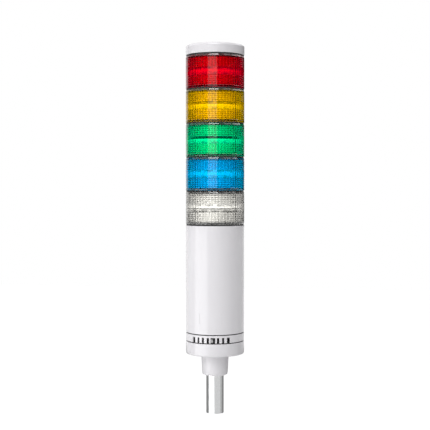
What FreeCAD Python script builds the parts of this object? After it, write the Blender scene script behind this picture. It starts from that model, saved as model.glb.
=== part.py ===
import FreeCAD, Part

import math
import os

os.makedirs("parts", exist_ok=True)

# Five-tier signal tower with a built-in buzzer, on a round pole.
# Millimetres and degrees. The origin is the centre of the pole's lower end and +Z runs up the tower.
# The front, with the sound slots and the volume lever, faces -Y. Angles count from the front towards +X.

# Outside of the tower
LENS_R = 30.0
BODY_INSET = 0.1

# Gaps between parts
PLUG_GAP = 0.2
RUN_GAP = 0.3
HOLE_GAP = 0.15
THREAD_GAP = 0.05

# How far a cutter reaches past the face it starts from, and how close two lengths are taken as equal
OVERCUT = 1.0
SAME = 1e-6

# Pole: a tube with a narrower, threaded upper end
POLE_R = 9.0
POLE_WALL = 2.0
POLE_FREE = 39.4
POLE_STEP = 0.5
POLE_PROUD = 2.0

# Washer and lock nut on the pole's upper end
WASHER_RIM = 4.4
WASHER_T = 1.2
NUT_RIM = 3.5
NUT_H = 5.0

# Neck
NECK_H = 22.1
NECK_WALL = 4.0
NECK_FLARE = 1.2
NECK_ROUND = 2.4
NECK_BOSS_WALL = 2.05
NECK_BOSS_SHORT = 0.3
NECK_KEYS = 3
KEY_W = 4.0
KEY_LENGTH = 1.8

# Base cup
CUP_H = 13.2
CUP_FLOOR = 2.6
CUP_WALL = 2.4
CUP_ROUND = 2.0
LEDGE_H = 3.0

# Sound band, its slots and the dark lines below and above it
BAND_H = 7.5
BAND_WALL = 1.2
LINE_H = 1.0
DECK_T = 2.0
COLLAR_H = 5.5
COLLAR_WALL = 1.4
SLOTS = 8
SLOT_ANGLE = 10.0
SLOT_W = 2.3
END_SLOT_W = 3.5
WIDE_SLOT = 4
WIDE_SLOT_W = 4.6

# Volume shutter and its lever
SHUTTER_WALL = 1.8
WINDOW_SHORT = 0.15
WINDOW_RIM = 1.0
LEVER_W = 2.0
LEVER_H = 3.8
LEVER_RECESS = 0.7
LEVER_ANGLE = -2.2

# Screws that hold cup, band, buzzer holder and housing together
POSTS = 3
POST_R = 3.4
POST_ANGLE = 60.0
POST_CLEAR = 0.8
SMALL_SHANK_R = 1.25
SMALL_HEAD_R = 2.25
SMALL_HEAD_H = 1.6
SEAT_T = 2.0

# Housing
SEAL_INSET = 0.8
HOUSING_H = 109.0
HOUSING_WALL = 2.5
HOUSING_BOSS_H = 12.0
WEB_T = 2.0
LIP_R = 22.5
LIP_T = 2.2
MARK_W = 0.5
MARK_H = 10.8
MARK_DEPTH = 0.3
MARK_ANGLE = 22.1
MARK_RISE = 10.6
INDEX_W = 3.4
INDEX_H = 0.9
INDEX_RISE = 4.0

# Buzzer and its holder
HOLDER_T = 2.0
FENCE_H = 3.0
FENCE_T = 1.0
SOUND_HOLE_R = 10.0
BUZZER_CLEAR = 1.5
BUZZER_H = 9.0
BUZZER_MOUTH_R = 4.0
BUZZER_MOUTH_DEPTH = 3.0

# Seat plate, with the legs that carry the main board
PLATE_T = 3.0
LEG_X = 19.0
LEG_W = 5.0
LEG_D = 5.0
LEG_LENGTH = 18.0

# Main board and what is soldered to it
BOARD_W = 44.0
BOARD_CLEAR = 4.0
BOARD_T = 1.6
BOARD_Y = 4.0
BOARD_DROP = 5.4
TERMINALS = 7
TERMINAL_PITCH = 5.0
TERMINAL_D = 9.0
TERMINAL_H = 10.0
TERMINAL_RISE = 6.0
WIRE_MOUTH = 3.0
WIRE_MOUTH_DEPTH = 6.0
TERMINAL_SCREW_R = 1.6
CLAMP_DEPTH = 2.0
CAPACITORS = 2
CAPACITOR_R = 4.0
CAPACITOR_H = 12.0
CAPACITOR_PITCH = 12.0
CAPACITOR_RISE = 27.0
CHIPS = 5
CHIP_W = 5.0
CHIP_H = 6.4
CHIP_T = 3.0
CHIP_PITCH = 8.0
CHIP_RISE = 46.0

# Tiers
TIERS = ["clear", "blue", "green", "amber", "red"]
LENS_H = 33.0
LENS_WALL = 2.3
FLANGE_H = 2.2
STEP_H = 0.5
STEP_DEPTH = 0.5
BAND_LOW = 13.0
BAND_HIGH = 20.4
GROOVE_PITCH = 2.1
GROOVE_W = 1.1
GROOVE_DEPTH = 0.45
FLUTES = 54
FLUTE_DEPTH = 0.6

# Gaskets between the tiers
GASKET_T = 1.4
GASKET_INSET = 0.6
GASKET_LIP_H = 2.3
GASKET_LIP_T = 1.4
GASKET_FOOT = 1.8

# Reflectors and LED boards
DISC_T = 2.0
DRUM_WALL = 1.5
OPENING_H = 7.6
COLUMN_R = 9.0
COLUMN_WALL = 2.5
CONE_H = 3.4
CONE_TOP_R = 21.4
CONE_WALL = 1.6
CONE_GAP = 2.8
RIBS = 24
RIB_DEPTH = 1.3
LED_BOARD_T = 1.6
LED_BOARD_OVER = 0.4
LEDS_PER_SIDE = 12
LED_INSET = 3.5
LED_W = 3.5
LED_D = 2.8
LED_T = 2.2
PINS = 4
PIN_R = 0.5
PIN_CIRCLE_R = 4.0

# Tie rods, their nuts and the clamp plate
RODS = 3
ROD_ANGLE = 0.0
ROD_R = 1.5
ROD_CIRCLE_R = 14.0
ROD_PROUD = 1.5
ROD_NUT_R = 3.1
ROD_NUT_H = 2.4
CLAMP_T = 3.0

# Cap
CAP_H = 10.5
CAP_WALL = 2.2
CAP_ROUND = 2.0
CAP_CROWN = 0.5
CAP_FLAT_R = 15.0
CAP_BOSS_R = 5.4
CAP_SHANK_R = 2.0
CAP_HEAD_R = 3.7
CAP_HEAD_H = 2.4
CAP_HEAD_SINK = 0.6
RECESS_SHARE = 0.55
RECESS_W = 0.7

# Radii that follow from the sizes above
BODY_R = LENS_R - BODY_INSET
CAP_R = LENS_R
STUB_R = POLE_R - POLE_STEP
STUB_BORE_R = STUB_R - POLE_WALL
NECK_LOW_R = POLE_R + NECK_WALL
NECK_HIGH_R = NECK_LOW_R + NECK_FLARE
NECK_BOSS_R = STUB_R + THREAD_GAP + NECK_BOSS_WALL
BAND_INNER_R = BODY_R - BAND_WALL
SHUTTER_R = BAND_INNER_R - RUN_GAP
SHUTTER_INNER_R = SHUTTER_R - SHUTTER_WALL
LEDGE_INNER_R = SHUTTER_INNER_R - RUN_GAP
POST_CIRCLE_R = LEDGE_INNER_R - POST_CLEAR - POST_R
DECK_INNER_R = POST_CIRCLE_R - POST_R
BUZZER_R = DECK_INNER_R - BUZZER_CLEAR
HOUSING_INNER_R = BODY_R - HOUSING_WALL
COLLAR_R = HOUSING_INNER_R - PLUG_GAP
LENS_INNER_R = LENS_R - LENS_WALL
GASKET_LIP_R = LENS_INNER_R - FLUTE_DEPTH - PLUG_GAP
DISC_R = GASKET_LIP_R - GASKET_FOOT
CONE_R = DISC_R - PLUG_GAP
LED_R = CONE_R - LED_INSET
CAP_INNER_R = CAP_R - CAP_WALL

# Heights, from the ground up
NECK_Z = POLE_FREE
CUP_Z = NECK_Z + NECK_H
FLOOR_Z = CUP_Z + CUP_FLOOR
NUT_Z = FLOOR_Z + WASHER_T
CUP_TOP_Z = CUP_Z + CUP_H
BAND_Z = CUP_TOP_Z + LINE_H
BAND_TOP_Z = BAND_Z + BAND_H
DECK_Z = BAND_TOP_Z - DECK_T
HOUSING_Z = BAND_TOP_Z + LINE_H
COLLAR_TOP_Z = BAND_TOP_Z + COLLAR_H
HOLDER_TOP_Z = COLLAR_TOP_Z + HOLDER_T
HOUSING_TOP_Z = HOUSING_Z + HOUSING_H
PLATE_TOP_Z = HOUSING_TOP_Z - LIP_T
PLATE_Z = PLATE_TOP_Z - PLATE_T
TIER_PITCH = LENS_H + GASKET_T
LENS_Z = HOUSING_TOP_Z + GASKET_T
STACK_Z = LENS_Z - GASKET_T / 2
STACK_TOP_Z = STACK_Z + len(TIERS) * TIER_PITCH
CAP_Z = HOUSING_TOP_Z + len(TIERS) * TIER_PITCH + GASKET_T
CLAMP_TOP_Z = STACK_TOP_Z + CLAMP_T
CAP_TOP_Z = CAP_Z + CAP_H
ROOF_Z = CAP_TOP_Z - CAP_WALL
CAP_SEAT_Z = CAP_TOP_Z - CAP_HEAD_SINK - CAP_HEAD_H
BOARD_TOP_Z = PLATE_Z - BOARD_DROP
BOARD_Z = HOLDER_TOP_Z + BUZZER_H + BOARD_CLEAR

# LED boards lie half-way up their lens, counted here from the lens's lower edge.
# Their LEDs look out between two ribs of the reflectors.
LED_BOARD_Z = (LENS_H - LED_BOARD_T) / 2
LED_START = 180.0 / RIBS

ORIGIN = FreeCAD.Vector(0, 0, 0)
UP = FreeCAD.Vector(0, 0, 1)


def disc(radius, low, high):
    """Cylinder about the tower's axis."""
    return Part.makeCylinder(radius, high - low, FreeCAD.Vector(0, 0, low))


def ring(outer_r, inner_r, low, high):
    """Plain ring about the tower's axis."""
    return disc(outer_r, low, high).cut(disc(inner_r, low, high))


def turned(outline):
    """Solid of revolution from (radius, height) points."""
    points = [FreeCAD.Vector(radius, 0, height) for radius, height in outline]
    wire = Part.makePolygon(points + points[:1])
    return Part.Face(wire).revolve(ORIGIN, UP, 360)


def block(width, near_y, far_y, low, high, middle_x=0.0):
    """Box of a width across X, from near_y to far_y, between two heights."""
    corner = FreeCAD.Vector(middle_x - width / 2, near_y, low)
    return Part.makeBox(width, far_y - near_y, high - low, corner)


def at_angle(shape, angle):
    """Copy of a shape turned about the tower's axis."""
    return shape.rotated(ORIGIN, UP, angle)


def around(shape, count, start=0.0):
    """Copies of a shape, evenly round the tower's axis."""
    return [at_angle(shape, start + 360.0 * i / count) for i in range(count)]


def raised(shape, height):
    """Copy of a shape moved up."""
    return shape.translated(FreeCAD.Vector(0, 0, height))


def peg(radius, circle_r, low, high):
    """Cylinder that stands at the front of a circle about the tower's axis."""
    return Part.makeCylinder(radius, high - low, FreeCAD.Vector(0, -circle_r, low))


def round_edge(shape, radius, height, fillet_r):
    """Fillet of the circular edges that have this radius and height."""
    edges = []
    for edge in shape.Edges:
        curve = edge.Curve
        if not isinstance(curve, Part.Circle):
            continue
        if abs(curve.Radius - radius) < SAME and abs(curve.Center.z - height) < SAME:
            edges.append(edge)
    return shape.makeFillet(fillet_r, edges)


def screw(shank_r, head_r, head_h, length):
    """Cheese-head screw with a cross recess; its head stands on z = 0 and its shank hangs below."""
    head = disc(head_r, 0, head_h)
    for turn in (0, 90):
        reach = head_r * RECESS_SHARE
        cross = block(RECESS_W, -reach, reach, head_h / 2, head_h)
        head = head.cut(at_angle(cross, turn))
    return head.fuse(disc(shank_r, -length, 0))


def aimed(shape, place, direction):
    """A screw moved to a place with its head towards a direction."""
    turn = FreeCAD.Rotation(UP, direction)
    moved = shape.copy()
    moved.Placement = FreeCAD.Placement(place, turn)
    return moved


def hexagon(across_corners_r, low, high):
    """Hexagonal prism about the tower's axis."""
    corners = []
    for i in range(6):
        angle = math.radians(60 * i)
        x = across_corners_r * math.cos(angle)
        y = across_corners_r * math.sin(angle)
        corners.append(FreeCAD.Vector(x, y, low))
    face = Part.Face(Part.makePolygon(corners + corners[:1]))
    return face.extrude(FreeCAD.Vector(0, 0, high - low))


def write(name, shapes):
    """Export one node, as one solid or as a group of separate solids."""
    if isinstance(shapes, list):
        shapes = Part.makeCompound(shapes)
    shapes.exportStep("parts/" + name + ".step")


# Pole, washer and lock nut

def make_pole():
    stub_top = NUT_Z + NUT_H + POLE_PROUD
    outline = [
        (POLE_R - POLE_WALL, 0),
        (POLE_R, 0),
        (POLE_R, POLE_FREE),
        (STUB_R, POLE_FREE),
        (STUB_R, stub_top),
        (STUB_BORE_R, stub_top),
        (STUB_BORE_R, POLE_FREE - POLE_STEP),
        (POLE_R - POLE_WALL, POLE_FREE - POLE_STEP),
    ]
    return turned(outline)


def make_pole_washer():
    return ring(STUB_R + WASHER_RIM, STUB_R + THREAD_GAP, FLOOR_Z, NUT_Z)


def make_pole_lock_nut():
    blank = hexagon((STUB_R + NUT_RIM) / math.cos(math.radians(30)), NUT_Z, NUT_Z + NUT_H)
    return blank.cut(disc(STUB_R + THREAD_GAP, NUT_Z, NUT_Z + NUT_H))


# Neck, with a keyed boss that locks into the base cup's floor

def keyed_boss(boss_r, key_w, key_reach, low, high):
    boss = disc(boss_r, low, high)
    key = block(key_w, -key_reach, -boss_r / 2, low, high)
    for copy in around(key, NECK_KEYS):
        boss = boss.fuse(copy)
    return boss


def make_neck():
    cone = Part.makeCone(NECK_LOW_R, NECK_HIGH_R, NECK_H, FreeCAD.Vector(0, 0, NECK_Z))
    cone = round_edge(cone, NECK_LOW_R, NECK_Z, NECK_ROUND)
    boss_top = FLOOR_Z - NECK_BOSS_SHORT
    boss = keyed_boss(NECK_BOSS_R, KEY_W, NECK_BOSS_R + KEY_LENGTH, CUP_Z, boss_top)
    return cone.fuse(boss).cut(disc(STUB_R + THREAD_GAP, NECK_Z, boss_top))


# Base cup, sound band and the screws that join them to the housing

def post_copies(shape):
    return around(shape, POSTS, POST_ANGLE)


def make_base_cup():
    cup = round_edge(disc(BODY_R, CUP_Z, CUP_TOP_Z), BODY_R, CUP_Z, CUP_ROUND)
    cup = cup.cut(disc(BODY_R - CUP_WALL, FLOOR_Z, CUP_TOP_Z))
    cup = cup.fuse(ring(BODY_R - CUP_WALL / 2, LEDGE_INNER_R, CUP_TOP_Z - LEDGE_H, CUP_TOP_Z))
    for post in post_copies(peg(POST_R, POST_CIRCLE_R, FLOOR_Z, CUP_TOP_Z)):
        cup = cup.fuse(post)
    hole = peg(SMALL_SHANK_R + HOLE_GAP, POST_CIRCLE_R, CUP_Z, CUP_TOP_Z)
    sink = peg(SMALL_HEAD_R + PLUG_GAP, POST_CIRCLE_R, CUP_Z, CUP_Z + SEAT_T)
    for cutter in post_copies(hole) + post_copies(sink):
        cup = cup.cut(cutter)
    reach = NECK_BOSS_R + KEY_LENGTH + PLUG_GAP
    keyway = keyed_boss(NECK_BOSS_R + PLUG_GAP, KEY_W + 2 * PLUG_GAP, reach, CUP_Z, FLOOR_Z)
    return cup.cut(keyway)


def make_base_screws():
    length = HOLDER_TOP_Z + HOUSING_BOSS_H - SEAT_T - (CUP_Z + SEAT_T)
    one = screw(SMALL_SHANK_R, SMALL_HEAD_R, SMALL_HEAD_H, length)
    place = FreeCAD.Vector(0, -POST_CIRCLE_R, CUP_Z + SEAT_T)
    return post_copies(aimed(one, place, FreeCAD.Vector(0, 0, -1)))


def slot_width(index):
    if index == WIDE_SLOT:
        return WIDE_SLOT_W
    return END_SLOT_W if index in (0, SLOTS - 1) else SLOT_W


def slot_angle(index):
    """Angle of a slot's middle. The wider end slots keep the same bars to their neighbours."""
    angle = (index - (SLOTS - 1) / 2) * SLOT_ANGLE
    spread = math.degrees((END_SLOT_W - SLOT_W) / 2 / BODY_R)
    if index == 0:
        return angle - spread
    return angle + spread if index == SLOTS - 1 else angle


def make_sound_band():
    band = ring(BODY_R, BAND_INNER_R, BAND_Z, BAND_TOP_Z)
    band = band.fuse(ring(BODY_R, DECK_INNER_R, DECK_Z, BAND_TOP_Z))
    collar = ring(COLLAR_R, COLLAR_R - COLLAR_WALL, BAND_TOP_Z - DECK_T / 2, COLLAR_TOP_Z)
    band = band.fuse(collar)
    for post in post_copies(peg(POST_R, POST_CIRCLE_R, CUP_TOP_Z, DECK_Z + DECK_T / 2)):
        band = band.fuse(post)
    for hole in post_copies(peg(SMALL_SHANK_R + HOLE_GAP, POST_CIRCLE_R, CUP_TOP_Z, BAND_TOP_Z)):
        band = band.cut(hole)
    for index in range(SLOTS):
        width = slot_width(index)
        slot = block(width, -BODY_R - OVERCUT, -BAND_INNER_R + OVERCUT, BAND_Z - OVERCUT, DECK_Z)
        band = band.cut(at_angle(slot, slot_angle(index)))
    return band


def make_body_seal():
    return ring(BODY_R - SEAL_INSET, COLLAR_R + PLUG_GAP, BAND_TOP_Z, HOUSING_Z)


# Volume shutter: a ring that turns behind the sound slots, with a lever through the wide slot

def make_volume_shutter():
    low = CUP_TOP_Z + RUN_GAP
    high = DECK_Z - RUN_GAP
    shutter = ring(SHUTTER_R, SHUTTER_INNER_R, low, high)
    for index in range(SLOTS):
        if index == WIDE_SLOT:
            continue
        width = slot_width(index) - 2 * WINDOW_SHORT
        window = block(width, -BODY_R, -SHUTTER_INNER_R + OVERCUT, low + WINDOW_RIM, high - WINDOW_RIM)
        shutter = shutter.cut(at_angle(window, slot_angle(index)))
    return shutter.cut(lever_shape(THREAD_GAP))


def lever_shape(gap):
    middle = (CUP_TOP_Z + DECK_Z) / 2
    low = middle - LEVER_H / 2 - gap
    high = middle + LEVER_H / 2 + gap
    root = SHUTTER_INNER_R - gap
    lever = block(LEVER_W + 2 * gap, -BODY_R + LEVER_RECESS, -root, low, high)
    return at_angle(lever, slot_angle(WIDE_SLOT) + LEVER_ANGLE)


def make_volume_lever():
    return lever_shape(0)


# Housing, with a lip at the top, bosses at the foot and shallow moulded marks on the front

def make_body_housing():
    housing = ring(BODY_R, HOUSING_INNER_R, HOUSING_Z, HOUSING_TOP_Z)
    housing = housing.fuse(ring(BODY_R, LIP_R, PLATE_TOP_Z, HOUSING_TOP_Z))
    boss_top = HOLDER_TOP_Z + HOUSING_BOSS_H
    boss = peg(POST_R, POST_CIRCLE_R, HOLDER_TOP_Z, boss_top)
    wall_middle = BODY_R - HOUSING_WALL / 2
    boss = boss.fuse(block(WEB_T, -wall_middle, -POST_CIRCLE_R, HOLDER_TOP_Z, boss_top))
    for copy in post_copies(boss):
        housing = housing.fuse(copy)
    for hole in post_copies(peg(SMALL_SHANK_R + THREAD_GAP, POST_CIRCLE_R, HOLDER_TOP_Z, boss_top)):
        housing = housing.cut(hole)
    skin_r = BODY_R - MARK_DEPTH
    mark_z = HOUSING_Z + MARK_RISE
    line = block(MARK_W, -BODY_R - OVERCUT, -skin_r + OVERCUT, mark_z, mark_z + MARK_H)
    index_z = HOUSING_Z + INDEX_RISE
    index = block(INDEX_W, -BODY_R - OVERCUT, -skin_r + OVERCUT, index_z, index_z + INDEX_H)
    skin = ring(BODY_R + OVERCUT, skin_r, index_z, mark_z + MARK_H)
    for mark in (at_angle(line, -MARK_ANGLE), at_angle(line, MARK_ANGLE), index):
        housing = housing.cut(mark.common(skin))
    return housing


# Buzzer and its holder

def make_buzzer_holder():
    holder = disc(COLLAR_R - PLUG_GAP, COLLAR_TOP_Z, HOLDER_TOP_Z)
    fence_r = BUZZER_R + PLUG_GAP
    fence = ring(fence_r + FENCE_T, fence_r, HOLDER_TOP_Z - HOLDER_T / 2, HOLDER_TOP_Z + FENCE_H)
    holder = holder.fuse(fence).cut(disc(SOUND_HOLE_R, COLLAR_TOP_Z, HOLDER_TOP_Z))
    hole = peg(SMALL_SHANK_R + HOLE_GAP, POST_CIRCLE_R, COLLAR_TOP_Z, HOLDER_TOP_Z)
    for copy in post_copies(hole):
        holder = holder.cut(copy)
    return holder


def make_buzzer():
    buzzer = disc(BUZZER_R, HOLDER_TOP_Z, HOLDER_TOP_Z + BUZZER_H)
    mouth = disc(BUZZER_MOUTH_R, HOLDER_TOP_Z, HOLDER_TOP_Z + BUZZER_MOUTH_DEPTH)
    return buzzer.cut(mouth)


# Seat plate under the housing's lip, and the main board that hangs from it

def rod_copies(shape):
    return around(shape, RODS, ROD_ANGLE)


def pin_copies(shape):
    return around(shape, PINS, 180.0 / PINS)


def make_seat_plate():
    plate = disc(COLLAR_R, PLATE_Z, PLATE_TOP_Z)
    plate = plate.fuse(disc(LIP_R - PLUG_GAP, PLATE_TOP_Z, STACK_Z))
    notch_w = 2 * (POST_R + PLUG_GAP)
    notch_r = POST_CIRCLE_R - POST_R - PLUG_GAP
    for notch in post_copies(block(notch_w, -BODY_R, -notch_r, PLATE_Z, PLATE_TOP_Z)):
        plate = plate.cut(notch)
    leg_back = BOARD_Y + BOARD_T
    for side in (-1, 1):
        leg = block(LEG_W, leg_back, leg_back + LEG_D, PLATE_Z - LEG_LENGTH, PLATE_Z, side * LEG_X)
        plate = plate.fuse(leg)
        plate = plate.cut(board_screw_hole(side, SMALL_SHANK_R + THREAD_GAP))
    for hole in rod_copies(peg(ROD_R + HOLE_GAP, ROD_CIRCLE_R, PLATE_Z, STACK_Z)):
        plate = plate.cut(hole)
    for hole in pin_copies(peg(PIN_R + THREAD_GAP, PIN_CIRCLE_R, PLATE_Z, STACK_Z)):
        plate = plate.cut(hole)
    return plate


def board_screw_z():
    leg_foot = PLATE_Z - LEG_LENGTH
    return (leg_foot + BOARD_TOP_Z) / 2


def board_screw_hole(side, radius):
    foot = FreeCAD.Vector(side * LEG_X, BOARD_Y, board_screw_z())
    return Part.makeCylinder(radius, BOARD_T + LEG_D, foot, FreeCAD.Vector(0, 1, 0))


def make_main_board():
    board = block(BOARD_W, BOARD_Y, BOARD_Y + BOARD_T, BOARD_Z, BOARD_TOP_Z)
    for side in (-1, 1):
        board = board.cut(board_screw_hole(side, SMALL_SHANK_R + HOLE_GAP))
    return board


def make_board_screws():
    one = screw(SMALL_SHANK_R, SMALL_HEAD_R, SMALL_HEAD_H, BOARD_T + LEG_D)
    screws = []
    for side in (-1, 1):
        place = FreeCAD.Vector(side * LEG_X, BOARD_Y, board_screw_z())
        screws.append(aimed(one, place, FreeCAD.Vector(0, -1, 0)))
    return screws


def row_positions(count, pitch):
    return [(i - (count - 1) / 2) * pitch for i in range(count)]


def make_terminal_block():
    low = BOARD_Z + TERMINAL_RISE
    front = BOARD_Y - TERMINAL_D
    body = block(TERMINALS * TERMINAL_PITCH, front, BOARD_Y, low, low + TERMINAL_H)
    for x in row_positions(TERMINALS, TERMINAL_PITCH):
        middle_y = BOARD_Y - TERMINAL_D / 2
        mouth = block(WIRE_MOUTH, middle_y, middle_y + WIRE_MOUTH, low, low + WIRE_MOUTH_DEPTH, x)
        body = body.cut(mouth)
        body = body.cut(terminal_screw_at(x, TERMINAL_SCREW_R + HOLE_GAP, CLAMP_DEPTH))
    return body


def terminal_screw_at(x, radius, depth):
    middle_z = BOARD_Z + TERMINAL_RISE + TERMINAL_H / 2
    foot = FreeCAD.Vector(x, BOARD_Y - TERMINAL_D, middle_z)
    return Part.makeCylinder(radius, depth, foot, FreeCAD.Vector(0, 1, 0))


def make_terminal_screws():
    screws = []
    for x in row_positions(TERMINALS, TERMINAL_PITCH):
        low = BOARD_Z + TERMINAL_RISE
        front = BOARD_Y - TERMINAL_D
        slot = block(RECESS_W, front, front + CLAMP_DEPTH / 2, low, low + TERMINAL_H, x)
        screws.append(terminal_screw_at(x, TERMINAL_SCREW_R, CLAMP_DEPTH).cut(slot))
    return screws


def make_capacitors():
    cans = []
    for x in row_positions(CAPACITORS, CAPACITOR_PITCH):
        foot = FreeCAD.Vector(x, BOARD_Y, BOARD_Z + CAPACITOR_RISE)
        cans.append(Part.makeCylinder(CAPACITOR_R, CAPACITOR_H, foot, FreeCAD.Vector(0, -1, 0)))
    return cans


def make_driver_chips():
    low = BOARD_Z + CHIP_RISE
    chips = []
    for x in row_positions(CHIPS, CHIP_PITCH):
        chips.append(block(CHIP_W, BOARD_Y - CHIP_T, BOARD_Y, low, low + CHIP_H, x))
    return chips


# One tier. Heights here count from the lower edge of the tier's lens.

def groove_points(low, high):
    """Outer wall points of one grooved zone, from its lower to its upper end."""
    count = max(1, round((high - low) / GROOVE_PITCH))
    pitch = (high - low) / count
    points = []
    for i in range(count):
        middle = low + (i + 0.5) * pitch
        points.append((LENS_R, middle - GROOVE_W / 2))
        points.append((LENS_R - GROOVE_DEPTH, middle))
        points.append((LENS_R, middle + GROOVE_W / 2))
    return points


def step_points(low, high):
    """Outer wall points of a narrow square step beside a flange."""
    inner = LENS_R - STEP_DEPTH
    return [(LENS_R, low), (inner, low), (inner, high), (LENS_R, high)]


def make_lens():
    top_step = LENS_H - FLANGE_H - STEP_H
    outline = [(0, 0), (LENS_R, 0)]
    outline += step_points(FLANGE_H, FLANGE_H + STEP_H)
    outline += groove_points(FLANGE_H + STEP_H, BAND_LOW)
    outline += groove_points(BAND_HIGH, top_step)
    outline += step_points(top_step, top_step + STEP_H)
    outline += [(LENS_R, LENS_H), (0, LENS_H)]
    flute_points = []
    for i in range(2 * FLUTES):
        radius = LENS_INNER_R - FLUTE_DEPTH * (i % 2)
        angle = math.pi * i / FLUTES
        x = radius * math.sin(angle)
        y = -radius * math.cos(angle)
        flute_points.append(FreeCAD.Vector(x, y, 0))
    star = Part.Face(Part.makePolygon(flute_points + flute_points[:1]))
    return turned(outline).cut(star.extrude(FreeCAD.Vector(0, 0, LENS_H)))


def rib_rim(radius, height):
    """Star-shaped rim of a ribbed cone; its valleys keep the same share of the radius."""
    valley = 1 - RIB_DEPTH / CONE_R
    points = []
    for i in range(2 * RIBS):
        reach = radius * (valley if i % 2 else 1)
        angle = math.pi * i / RIBS
        points.append(FreeCAD.Vector(reach * math.sin(angle), -reach * math.cos(angle), height))
    return points


def ribbed_cone(rim_r, rim_z, top_r, top_z):
    """Closed cone with V ribs along its side."""
    rim = rib_rim(rim_r, rim_z)
    top = rib_rim(top_r, top_z)
    faces = [Part.Face(Part.makePolygon(rim + rim[:1])), Part.Face(Part.makePolygon(top + top[:1]))]
    for i in range(2 * RIBS):
        j = (i + 1) % (2 * RIBS)
        faces.append(Part.Face(Part.makePolygon([rim[i], rim[j], top[j], top[i], rim[i]])))
    shell = Part.Shell(faces)
    shell.sewShape()
    solid = Part.Solid(shell)
    if solid.Volume < 0:
        solid.reverse()
    return solid


def led_box(gap, low, high):
    """Space of one LED at the front of the board, with a gap on its sides."""
    return block(LED_W + 2 * gap, -LED_R - LED_D / 2 - gap, -LED_R + LED_D / 2 + gap, low, high)


def make_upper_reflector():
    """End disc with its drum, column and ribbed skirt above the LED board."""
    foot = LED_BOARD_Z + LED_BOARD_T
    head = LENS_H + GASKET_T / 2
    cone_top = foot + CONE_H
    body = ribbed_cone(CONE_R, foot, CONE_TOP_R, cone_top)
    hollow = Part.makeCone(CONE_R - CONE_GAP, CONE_TOP_R - CONE_GAP, CONE_H - CONE_WALL,
                           FreeCAD.Vector(0, 0, foot))
    body = body.cut(hollow)
    body = body.fuse(disc(COLUMN_R, foot, head))
    body = body.fuse(disc(CONE_R, head - DISC_T, head))
    drum_low = (LENS_H + OPENING_H) / 2
    body = body.fuse(ring(CONE_R, CONE_R - DRUM_WALL, drum_low, head - DISC_T / 2))
    body = body.cut(disc(COLUMN_R - COLUMN_WALL, foot, head - DISC_T))
    for hole in pin_copies(peg(PIN_R + THREAD_GAP, PIN_CIRCLE_R, head - DISC_T, head)):
        body = body.cut(hole)
    for hole in rod_copies(peg(ROD_R + HOLE_GAP, ROD_CIRCLE_R, foot, head)):
        body = body.cut(hole)
    for window in around(led_box(PLUG_GAP, foot, cone_top), LEDS_PER_SIDE, LED_START):
        body = body.cut(window)
    return body


def make_lower_reflector():
    """The upper reflector turned over, below the LED board."""
    middle = FreeCAD.Vector(0, 0, LENS_H / 2)
    return make_upper_reflector().rotated(middle, FreeCAD.Vector(0, 1, 0), 180)


def make_led_board():
    low = LED_BOARD_Z
    high = low + LED_BOARD_T
    board = disc(CONE_R + LED_BOARD_OVER, low, high)
    for hole in rod_copies(peg(ROD_R + HOLE_GAP, ROD_CIRCLE_R, low, high)):
        board = board.cut(hole)
    return board


def make_leds():
    """LEDs on both faces of the board."""
    top = LED_BOARD_Z + LED_BOARD_T
    lamps = around(led_box(0, top, top + LED_T), LEDS_PER_SIDE, LED_START)
    lamps += around(led_box(0, LED_BOARD_Z - LED_T, LED_BOARD_Z), LEDS_PER_SIDE, -LED_START)
    return lamps


def make_tier(index, colour):
    shapes = {
        "lens": make_lens(),
        "upper_reflector": make_upper_reflector(),
        "lower_reflector": make_lower_reflector(),
        "led_board": make_led_board(),
    }
    height = LENS_Z + index * TIER_PITCH
    for name, shape in shapes.items():
        write(name + "_" + colour, raised(shape, height))
    write("leds_" + colour, [raised(lamp, height) for lamp in make_leds()])


def make_bus_pins():
    """Pins that run from board to board through the columns, and from the seat plate to the first."""
    pins = []
    low = PLATE_Z
    for index in range(len(TIERS)):
        board_foot = LENS_Z + index * TIER_PITCH + LED_BOARD_Z
        pins += pin_copies(peg(PIN_R, PIN_CIRCLE_R, low, board_foot))
        low = board_foot + LED_BOARD_T
    return pins


def make_gasket(index):
    """Rubber ring between two tiers, with a dark lip behind each lens flange."""
    middle = HOUSING_TOP_Z + GASKET_T / 2 + index * TIER_PITCH
    low = middle - GASKET_T / 2
    high = middle + GASKET_T / 2
    gasket = ring(LENS_R - GASKET_INSET, DISC_R, low, high)
    lip_low = low - GASKET_LIP_H if index > 0 else low
    lip_high = high + GASKET_LIP_H if index < len(TIERS) else high
    return gasket.fuse(ring(GASKET_LIP_R, GASKET_LIP_R - GASKET_LIP_T, lip_low, lip_high))


# Tie rods, nuts, clamp plate and cap

def make_tie_rods():
    low = PLATE_Z - ROD_NUT_H - ROD_PROUD
    high = CLAMP_TOP_Z + ROD_NUT_H + ROD_PROUD
    return rod_copies(peg(ROD_R, ROD_CIRCLE_R, low, high))


def make_tie_rod_nuts():
    nuts = []
    for low in (PLATE_Z - ROD_NUT_H, CLAMP_TOP_Z):
        nut = hexagon(ROD_NUT_R, low, low + ROD_NUT_H)
        nut = nut.cut(disc(ROD_R + THREAD_GAP, low, low + ROD_NUT_H))
        nuts += rod_copies(nut.translated(FreeCAD.Vector(0, -ROD_CIRCLE_R, 0)))
    return nuts


def make_clamp_plate():
    plate = disc(DISC_R - PLUG_GAP, STACK_TOP_Z, CLAMP_TOP_Z)
    for hole in rod_copies(peg(ROD_R + HOLE_GAP, ROD_CIRCLE_R, STACK_TOP_Z, CLAMP_TOP_Z)):
        plate = plate.cut(hole)
    return plate.cut(disc(CAP_SHANK_R + THREAD_GAP, STACK_TOP_Z, CLAMP_TOP_Z))


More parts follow.
